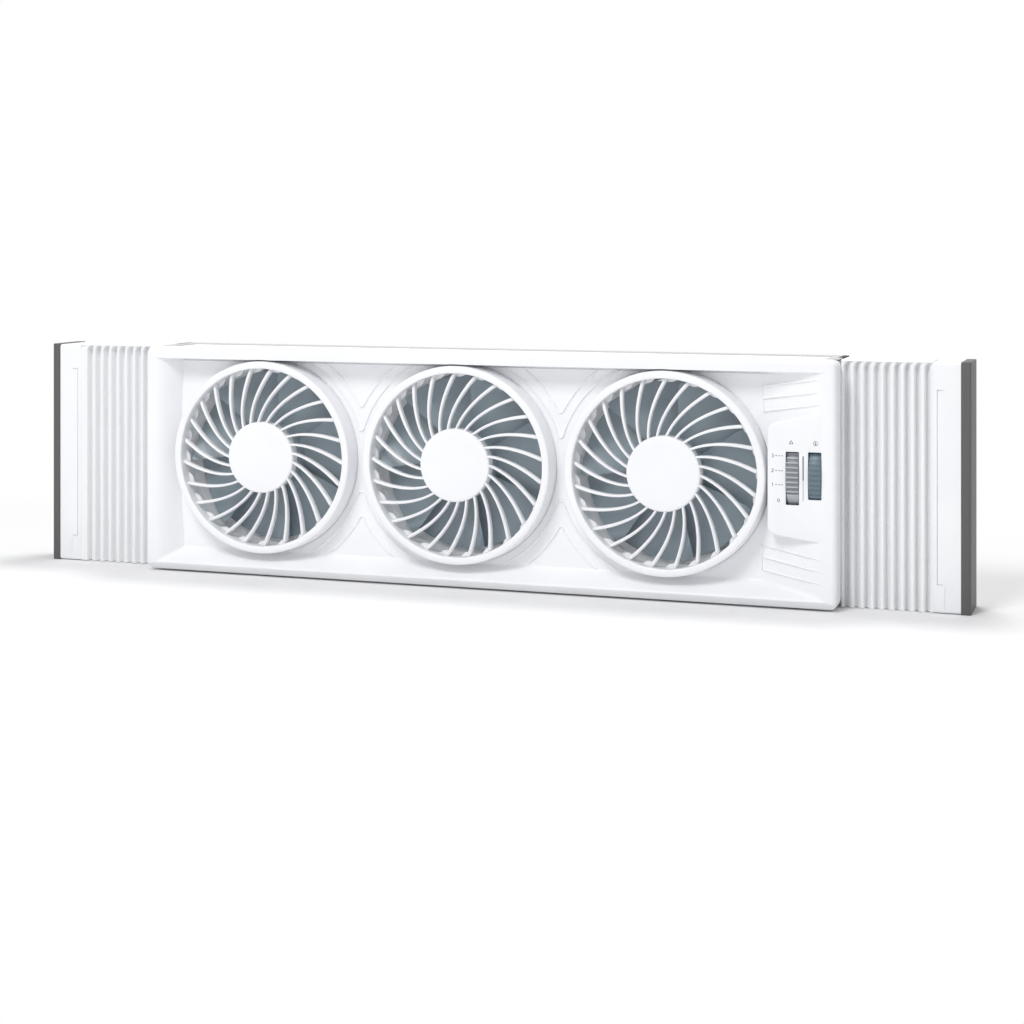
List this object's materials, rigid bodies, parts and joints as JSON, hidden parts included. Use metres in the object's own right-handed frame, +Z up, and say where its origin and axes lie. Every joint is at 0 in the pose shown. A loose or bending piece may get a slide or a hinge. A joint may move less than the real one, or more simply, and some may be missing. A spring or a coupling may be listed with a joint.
{
  "type": "window fan",
  "caption": "Slim white window fan: axial fans in a row behind swirl grilles, two thumbwheels, and a pleated slide-out panel at each end to fill the window.",
  "frame": {"origin": "centre of the housing's rubber foot strip, on the face that rests on the window sill", "axes": "+Z up, +Y from the room towards the street, +X to the right seen from the room"},
  "size_m": [0.7545, 0.0726, 0.1815],
  "materials": {
    "white_plastic": "satin white ABS",
    "pleat_plastic": "matt white polypropylene",
    "edge_rubber": "dark grey moulded rubber",
    "seal_foam": "dark grey sealing strip",
    "fan_plastic": "slate grey polypropylene",
    "motor_steel": "zinc-plated steel",
    "shaft_steel": "ground steel",
    "bush_bronze": "sintered bronze",
    "dial_grey": "mid grey ABS",
    "dial_blue": "slate blue ABS",
    "inner_plastic": "natural grey ABS",
    "switch_plastic": "black phenolic",
    "thermostat_base": "steatite-coloured moulding",
    "wire_pvc": "black PVC",
    "screw_steel": "zinc-plated steel"
  },
  "bodies": {
    "housing": {"front_panel": "white_plastic", "rear_housing": "white_plastic", "control_bracket": "inner_plastic", "dial_axle": "shaft_steel", "speed_switch": "switch_plastic", "thermostat": "thermostat_base", "terminal_block": "inner_plastic", "wiring_loom": "wire_pvc", "cord_grommet": "edge_rubber", "top_seal": "seal_foam", "bottom_seal": "seal_foam", "front_grille_left": "white_plastic", "front_grille_centre": "white_plastic", "front_grille_right": "white_plastic", "rear_guard_left": "white_plastic", "rear_guard_centre": "white_plastic", "rear_guard_right": "white_plastic", "motor_left": "motor_steel", "motor_centre": "motor_steel", "motor_right": "motor_steel", "bushes_left": "bush_bronze", "bushes_centre": "bush_bronze", "bushes_right": "bush_bronze", "left_bellows": "pleat_plastic", "right_bellows": "pleat_plastic", "housing_screws": "screw_steel", "guard_screws": "screw_steel", "motor_screws": "screw_steel"},
    "left_rotor": {"fan_left": "fan_plastic", "shaft_left": "shaft_steel", "fan_nut_left": "shaft_steel"},
    "centre_rotor": {"fan_centre": "fan_plastic", "shaft_centre": "shaft_steel", "fan_nut_centre": "shaft_steel"},
    "right_rotor": {"fan_right": "fan_plastic", "shaft_right": "shaft_steel", "fan_nut_right": "shaft_steel"},
    "speed_wheel": {"speed_dial": "dial_grey"},
    "thermostat_wheel": {"thermostat_dial": "dial_blue"},
    "left_panel": {"left_end_plate": "white_plastic", "left_edge_strip": "edge_rubber", "left_upper_rail": "inner_plastic", "left_lower_rail": "inner_plastic", "left_rail_screws": "screw_steel"},
    "right_panel": {"right_end_plate": "white_plastic", "right_edge_strip": "edge_rubber", "right_upper_rail": "inner_plastic", "right_lower_rail": "inner_plastic", "right_rail_screws": "screw_steel"}
  },
  "joints": [
    {"name": "left_fan_spin", "type": "hinge", "parent": "housing", "child": "left_rotor", "pos_m": [-0.1773, 0, 0.0954], "axis": [0, -1, 0], "continuous": true},
    {"name": "centre_fan_spin", "type": "hinge", "parent": "housing", "child": "centre_rotor", "pos_m": [-0.0127, 0, 0.0954], "axis": [0, -1, 0], "continuous": true},
    {"name": "right_fan_spin", "type": "hinge", "parent": "housing", "child": "right_rotor", "pos_m": [0.1519, 0, 0.0954], "axis": [0, -1, 0], "continuous": true},
    {"name": "speed_turn", "type": "hinge", "parent": "housing", "child": "speed_wheel", "pos_m": [0.248, -0.004, 0.0967], "axis": [-1, 0, 0], "range_deg": [0, 60]},
    {"name": "thermostat_turn", "type": "hinge", "parent": "housing", "child": "thermostat_wheel", "pos_m": [0.2643, -0.004, 0.0967], "axis": [-1, 0, 0], "range_deg": [-135, 135]},
    {"name": "left_panel_slide", "type": "slide", "parent": "housing", "child": "left_panel", "axis": [-1, 0, 0], "range_m": [-0.035, 0.045], "deforming": ["left_bellows"]},
    {"name": "right_panel_slide", "type": "slide", "parent": "housing", "child": "right_panel", "axis": [1, 0, 0], "range_m": [-0.035, 0.045], "deforming": ["right_bellows"]}
  ]
}
